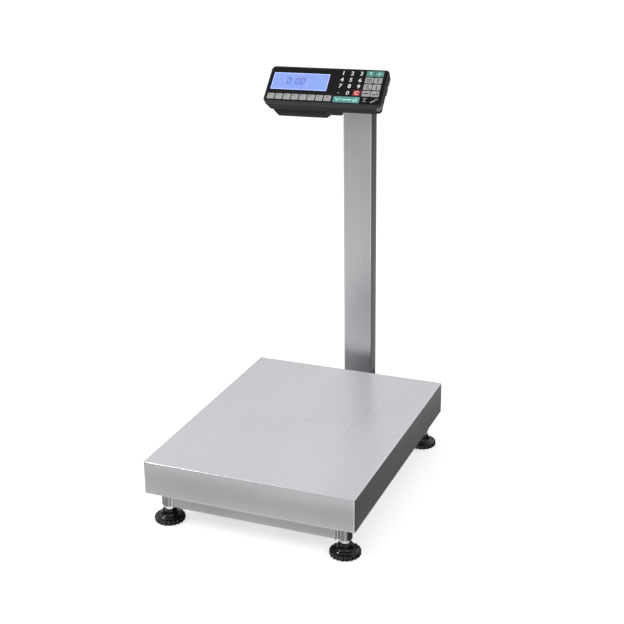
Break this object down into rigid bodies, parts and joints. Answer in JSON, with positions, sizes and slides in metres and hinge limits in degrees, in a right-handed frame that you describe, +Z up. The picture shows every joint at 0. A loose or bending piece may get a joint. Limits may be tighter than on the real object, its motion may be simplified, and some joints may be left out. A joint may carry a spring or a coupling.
{
  "type": "platform price scale",
  "caption": "Platform scale: brushed steel platter on a load cell and levelling feet, with a column behind carrying a tilting price terminal with display and keypad",
  "frame": {"origin": "on the floor, under the middle of the whole object's box", "axes": "+X to the right as seen from the front, +Y to the back where the column stands, +Z up"},
  "size_m": [0.42, 0.648, 0.775],
  "materials": {
    "brushed_stainless": "fine straight brushed grain, satin",
    "zinc_steel": "bright zinc plate, lightly machined",
    "cell_aluminium": "milled, clear anodised",
    "black_nylon": "glossy moulded black nylon",
    "support_rubber": "matt black rubber",
    "shell_plastic": "fine moulded texture, dark grey",
    "overlay_film": "satin printed polyester film, near black with coloured keys",
    "display_glass": "backlit blue liquid-crystal display behind clear glass",
    "board_green": "green solder mask",
    "battery_wrap": "blue shrink wrap",
    "cable_pvc": "grey cable jacket",
    "vial_acrylic": "clear acrylic over yellow-green liquid"
  },
  "bodies": {
    "base": {"frame_front_beam": "brushed_stainless", "frame_rear_beam": "brushed_stainless", "frame_spine": "brushed_stainless", "frame_outrigger": "brushed_stainless", "outrigger_end_plug": "black_nylon", "load_cell": "cell_aluminium", "load_cell_cable": "cable_pvc", "level_vial": "vial_acrylic", "column_base_plate": "brushed_stainless", "column_tube": "brushed_stainless", "column_cap": "black_nylon", "column_bolt_1": "zinc_steel", "column_bolt_2": "zinc_steel", "column_bolt_3": "zinc_steel", "column_bolt_4": "zinc_steel", "cell_lower_bolt_1": "zinc_steel", "cell_lower_bolt_2": "zinc_steel", "leg_front_left": "brushed_stainless", "leg_front_right": "brushed_stainless", "leg_rear_left": "brushed_stainless", "leg_rear_right": "brushed_stainless", "jam_nut_front_left": "zinc_steel", "jam_nut_front_right": "zinc_steel", "jam_nut_rear_left": "zinc_steel", "jam_nut_rear_right": "zinc_steel", "stop_screw_front_left": "zinc_steel", "stop_screw_front_right": "zinc_steel", "stop_screw_rear_left": "zinc_steel", "stop_screw_rear_right": "zinc_steel"},
    "platform": {"platform_cross_plate": "brushed_stainless", "platform_rail_left": "brushed_stainless", "platform_rail_right": "brushed_stainless", "cell_upper_bolt_1": "zinc_steel", "cell_upper_bolt_2": "zinc_steel", "support_pad_front_left": "support_rubber", "support_pad_front_right": "support_rubber", "support_pad_rear_left": "support_rubber", "support_pad_rear_right": "support_rubber"},
    "platter": {"platter": "brushed_stainless"},
    "foot_stud_front_left": {"foot_stud_front_left": "zinc_steel"},
    "foot_pad_front_left": {"foot_pad_front_left": "black_nylon"},
    "foot_stud_front_right": {"foot_stud_front_right": "zinc_steel"},
    "foot_pad_front_right": {"foot_pad_front_right": "black_nylon"},
    "foot_stud_rear_left": {"foot_stud_rear_left": "zinc_steel"},
    "foot_pad_rear_left": {"foot_pad_rear_left": "black_nylon"},
    "foot_stud_rear_right": {"foot_stud_rear_right": "zinc_steel"},
    "foot_pad_rear_right": {"foot_pad_rear_right": "black_nylon"},
    "swivel_head": {"swivel_head": "zinc_steel"},
    "terminal": {"terminal_lower_shell": "shell_plastic", "terminal_bezel": "shell_plastic", "keypad_overlay": "overlay_film", "display_module": "display_glass", "main_board": "board_green", "battery_pack": "battery_wrap", "socket_panel": "black_nylon", "terminal_cable": "cable_pvc"},
    "tilt_screw": {"tilt_screw": "black_nylon"},
    "battery_door": {"battery_door": "shell_plastic"},
    "power_rocker": {"power_rocker": "black_nylon"}
  },
  "joints": [
    {"name": "platform_deflection", "type": "slide", "parent": "base", "child": "platform", "axis": [0, 0, -1], "range_m": [0, 0.0005], "stiffness_N_per_m": 3000000, "deforming": ["load_cell"]},
    {"name": "platter_lift_off", "type": "slide", "parent": "platform", "child": "platter", "axis": [0, 0, 1], "range_m": [0, 0.1]},
    {"name": "foot_height_front_left", "type": "slide", "parent": "base", "child": "foot_stud_front_left", "axis": [0, 0, -1], "range_m": [0, 0.01405]},
    {"name": "foot_turn_front_left", "type": "hinge", "parent": "foot_stud_front_left", "child": "foot_pad_front_left", "pos_m": [-0.1785, -0.2896, 0], "axis": [0, 0, -1], "range_deg": [0, 2880]},
    {"name": "foot_height_front_right", "type": "slide", "parent": "base", "child": "foot_stud_front_right", "axis": [0, 0, -1], "range_m": [0, 0.01405]},
    {"name": "foot_turn_front_right", "type": "hinge", "parent": "foot_stud_front_right", "child": "foot_pad_front_right", "pos_m": [0.1785, -0.2896, 0], "axis": [0, 0, -1], "range_deg": [0, 2880]},
    {"name": "foot_height_rear_left", "type": "slide", "parent": "base", "child": "foot_stud_rear_left", "axis": [0, 0, -1], "range_m": [0, 0.01405]},
    {"name": "foot_turn_rear_left", "type": "hinge", "parent": "foot_stud_rear_left", "child": "foot_pad_rear_left", "pos_m": [-0.1785, 0.1816, 0], "axis": [0, 0, -1], "range_deg": [0, 2880]},
    {"name": "foot_height_rear_right", "type": "slide", "parent": "base", "child": "foot_stud_rear_right", "axis": [0, 0, -1], "range_m": [0, 0.01405]},
    {"name": "foot_turn_rear_right", "type": "hinge", "parent": "foot_stud_rear_right", "child": "foot_pad_rear_right", "pos_m": [0.1785, 0.1816, 0], "axis": [0, 0, -1], "range_deg": [0, 2880]},
    {"name": "terminal_swivel", "type": "hinge", "parent": "base", "child": "swivel_head", "pos_m": [0, 0.287, 0.703], "axis": [0, 0, 1], "range_deg": [-34, 26]},
    {"name": "terminal_tilt", "type": "hinge", "parent": "swivel_head", "child": "terminal", "pos_m": [0, 0.287, 0.722], "axis": [0.9974, 0.0715, 0], "range_deg": [-20, 20]},
    {"name": "tilt_screw_turn", "type": "hinge", "parent": "terminal", "child": "tilt_screw", "pos_m": [0, 0.287, 0.722], "axis": [0.9974, 0.0715, 0], "range_deg": [0, 180]},
    {"name": "battery_door_off", "type": "slide", "parent": "terminal", "child": "battery_door", "axis": [0, 0, -1], "range_m": [0, 0.06]},
    {"name": "power_rocker_tip", "type": "hinge", "parent": "terminal", "child": "power_rocker", "pos_m": [-0.07732, 0.28868, 0.696], "axis": [0, 0, 1], "range_deg": [-14, 0]}
  ],
  "couplings": [
    {"joint": "foot_height_front_left", "follows": "foot_turn_front_left", "m_per_rad": 0.00027852},
    {"joint": "foot_height_front_right", "follows": "foot_turn_front_right", "m_per_rad": 0.00027852},
    {"joint": "foot_height_rear_left", "follows": "foot_turn_rear_left", "m_per_rad": 0.00027852},
    {"joint": "foot_height_rear_right", "follows": "foot_turn_rear_right", "m_per_rad": 0.00027852}
  ]
}
